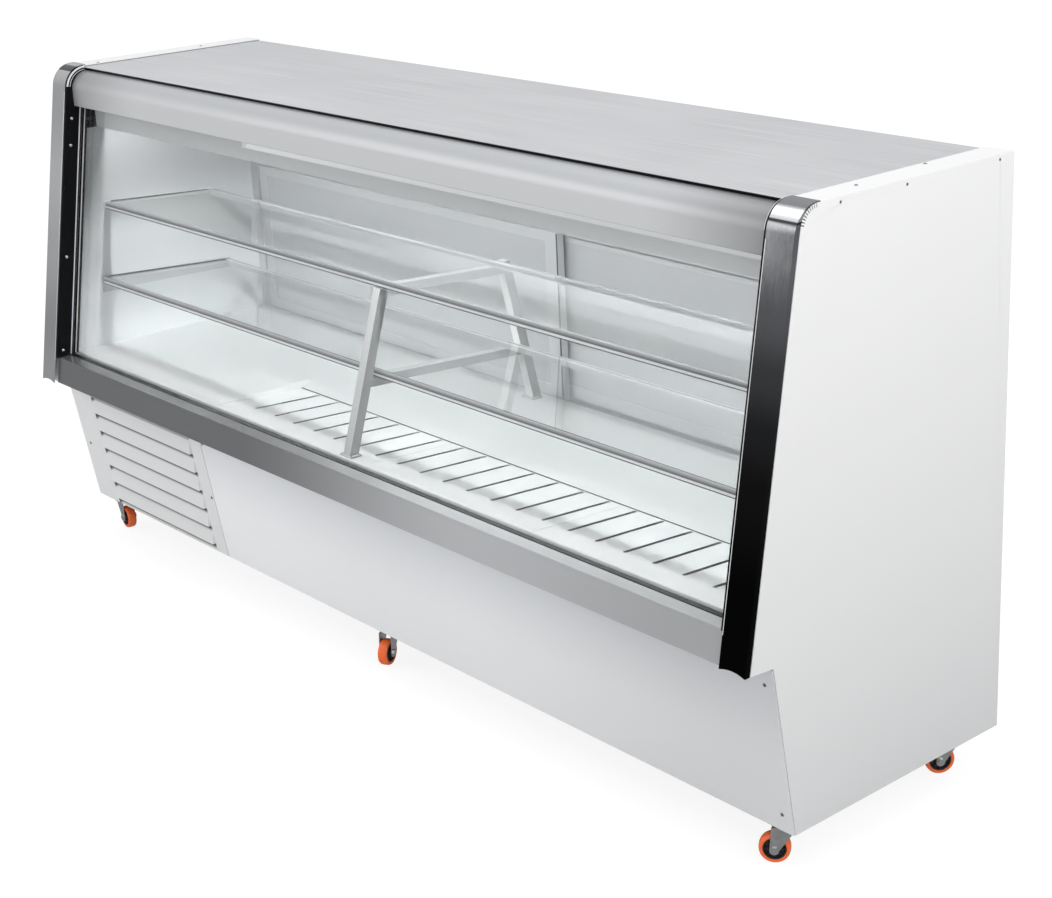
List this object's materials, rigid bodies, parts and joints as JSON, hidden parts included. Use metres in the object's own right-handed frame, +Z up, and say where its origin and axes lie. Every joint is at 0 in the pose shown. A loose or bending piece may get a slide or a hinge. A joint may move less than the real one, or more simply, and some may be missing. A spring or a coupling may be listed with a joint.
{
  "type": "refrigerated deli case",
  "caption": "Long refrigerated deli display case on swivel casters, with a sloping glass front, glass shelves, a slotted cold deck and sliding rear doors.",
  "frame": {"origin": "on the floor, under the middle of the case", "axes": "+X along the case to the customer's right, +Y from the customer's side to the server's side, +Z up"},
  "size_m": [2.65, 0.7482, 1.3],
  "materials": {
    "end_skin": "smooth white powder coat",
    "foam": "rigid closed-cell foam between sheets",
    "liner": "white coated inner sheet",
    "trim": "polished stainless strip",
    "header": "satin stainless, rounded",
    "top": "pale grey coated sheet",
    "valance": "white coated light cover",
    "lamp": "frosted tube",
    "pane": "clear flat toughened glass",
    "channel": "black glazing section",
    "fascia": "polished stainless",
    "front_cover": "pale grey powder coat",
    "tub": "rigid closed-cell foam floor",
    "tub_sheet": "satin stainless",
    "deck": "white coated sheet",
    "rear_sheet": "white powder coat",
    "door_track": "anodised section",
    "door_ring": "white anodised section",
    "door_panel": "white insulated panel",
    "shelf": "clear glass, polished edges",
    "rail": "polished section",
    "bracket": "grey coated sheet",
    "frame_tube": "white coated tube",
    "coil": "thin fins on tubes",
    "condenser": "black coated fins",
    "motor": "black coated motor shell",
    "fan": "moulded black",
    "compressor": "gloss black shell",
    "copper": "bare drawn copper",
    "control": "grey moulded",
    "knob": "black moulded, fluted",
    "switch": "gloss black rocker",
    "gland": "black moulded",
    "base": "dark grey welded tube",
    "tray": "galvanised sheet",
    "zinc": "bright zinc plated",
    "wheel": "orange tread on a dark core",
    "screw": "dark plated pan heads"
  },
  "bodies": {
    "root": {"end_skin_left": "end_skin", "end_skin_right": "end_skin", "insulation_cores": "foam", "end_liners": "liner", "front_trim_left": "trim", "front_trim_right": "trim", "header": "header", "top_sheet": "top", "ceiling_liner": "liner", "light_valance": "valance", "light_tubes": "lamp", "front_glass_outer": "pane", "front_glass_inner": "pane", "glass_channels": "channel", "fascia": "fascia", "lower_front_panel": "front_cover", "louvre_panel": "front_cover", "tub_core": "tub", "tub_liner": "tub_sheet", "deck_sheet": "deck", "deck_pans": "deck", "rear_upper_panel": "rear_sheet", "rear_lower_panel": "rear_sheet", "door_track_frame": "door_track", "shelf_glass_upper": "shelf", "shelf_glass_lower": "shelf", "shelf_rails": "rail", "shelf_brackets": "bracket", "centre_frame": "frame_tube", "evaporator_coil": "coil", "condenser": "condenser", "fan_motors": "motor", "compressor": "compressor", "pipework": "copper", "control_box": "control", "cable_gland": "gland", "base_frame": "base", "machine_tray": "tray", "caster_plates": "zinc", "panel_screws": "screw"},
    "door_left": {"door_frame_left": "door_ring", "door_panel_left": "door_panel"},
    "door_right": {"door_frame_right": "door_ring", "door_panel_right": "door_panel"},
    "condenser_fan": {"condenser_fan": "fan"},
    "evaporator_fan": {"evaporator_fan": "fan"},
    "thermostat_knob": {"thermostat_knob": "knob"},
    "power_switch": {"power_switch": "switch"},
    "fork_front_left": {"caster_fork_front_left": "zinc"},
    "wheel_front_left": {"caster_wheel_front_left": "wheel"},
    "fork_front_middle": {"caster_fork_front_middle": "zinc"},
    "wheel_front_middle": {"caster_wheel_front_middle": "wheel"},
    "fork_front_right": {"caster_fork_front_right": "zinc"},
    "wheel_front_right": {"caster_wheel_front_right": "wheel"},
    "fork_rear_left": {"caster_fork_rear_left": "zinc"},
    "wheel_rear_left": {"caster_wheel_rear_left": "wheel"},
    "fork_rear_middle": {"caster_fork_rear_middle": "zinc"},
    "wheel_rear_middle": {"caster_wheel_rear_middle": "wheel"},
    "fork_rear_right": {"caster_fork_rear_right": "zinc"},
    "wheel_rear_right": {"caster_wheel_rear_right": "wheel"}
  },
  "joints": [
    {"name": "door_left_slide", "type": "slide", "parent": "root", "child": "door_left", "axis": [1, 0, 0], "range_m": [0, 1.15]},
    {"name": "door_right_slide", "type": "slide", "parent": "root", "child": "door_right", "axis": [-1, 0, 0], "range_m": [0, 1.15]},
    {"name": "condenser_fan_spin", "type": "hinge", "parent": "root", "child": "condenser_fan", "pos_m": [-0.97, -0.127, 0.232], "axis": [0, 1, 0], "continuous": true},
    {"name": "evaporator_fan_spin", "type": "hinge", "parent": "root", "child": "evaporator_fan", "pos_m": [-0.474, -0.14, 0.466], "axis": [1, 0, 0], "continuous": true},
    {"name": "thermostat_turn", "type": "hinge", "parent": "root", "child": "thermostat_knob", "pos_m": [-1.035, 0.351, 0.25], "axis": [0, 1, 0], "range_deg": [0, 300]},
    {"name": "power_rocker", "type": "hinge", "parent": "root", "child": "power_switch", "pos_m": [-0.945, 0.347, 0.25], "axis": [1, 0, 0], "range_deg": [0, 16]},
    {"name": "swivel_front_left", "type": "hinge", "parent": "root", "child": "fork_front_left", "pos_m": [-1.262, -0.208, 0.08], "axis": [0, 0, 1], "continuous": true},
    {"name": "roll_front_left", "type": "hinge", "parent": "fork_front_left", "child": "wheel_front_left", "pos_m": [-1.23724, -0.21148, 0.0315], "axis": [0.1392, 0.9903, 0], "continuous": true},
    {"name": "swivel_front_middle", "type": "hinge", "parent": "root", "child": "fork_front_middle", "pos_m": [0, -0.208, 0.08], "axis": [0, 0, 1], "continuous": true},
    {"name": "roll_front_middle", "type": "hinge", "parent": "fork_front_middle", "child": "wheel_front_middle", "pos_m": [0.01174, -0.23007, 0.0315], "axis": [0.8829, 0.4695, 0], "continuous": true},
    {"name": "swivel_front_right", "type": "hinge", "parent": "root", "child": "fork_front_right", "pos_m": [1.275, -0.21, 0.08], "axis": [0, 0, 1], "continuous": true},
    {"name": "roll_front_right", "type": "hinge", "parent": "fork_front_right", "child": "wheel_front_right", "pos_m": [1.25557, -0.22573, 0.0315], "axis": [0.6293, -0.7771, 0], "continuous": true},
    {"name": "swivel_rear_left", "type": "hinge", "parent": "root", "child": "fork_rear_left", "pos_m": [-1.262, 0.296, 0.08], "axis": [0, 0, 1], "continuous": true},
    {"name": "roll_rear_left", "type": "hinge", "parent": "fork_rear_left", "child": "wheel_rear_left", "pos_m": [-1.28365, 0.3085, 0.0315], "axis": [-0.5, -0.866, 0], "continuous": true},
    {"name": "swivel_rear_middle", "type": "hinge", "parent": "root", "child": "fork_rear_middle", "pos_m": [0, 0.296, 0.08], "axis": [0, 0, 1], "continuous": true},
    {"name": "roll_rear_middle", "type": "hinge", "parent": "fork_rear_middle", "child": "wheel_rear_middle", "pos_m": [0.02048, 0.31034, 0.0315], "axis": [-0.5736, 0.8192, 0], "continuous": true},
    {"name": "swivel_rear_right", "type": "hinge", "parent": "root", "child": "fork_rear_right", "pos_m": [1.275, 0.286, 0.08], "axis": [0, 0, 1], "continuous": true},
    {"name": "roll_rear_right", "type": "hinge", "parent": "fork_rear_right", "child": "wheel_rear_right", "pos_m": [1.26102, 0.26527, 0.0315], "axis": [0.829, -0.5592, 0], "continuous": true}
  ]
}
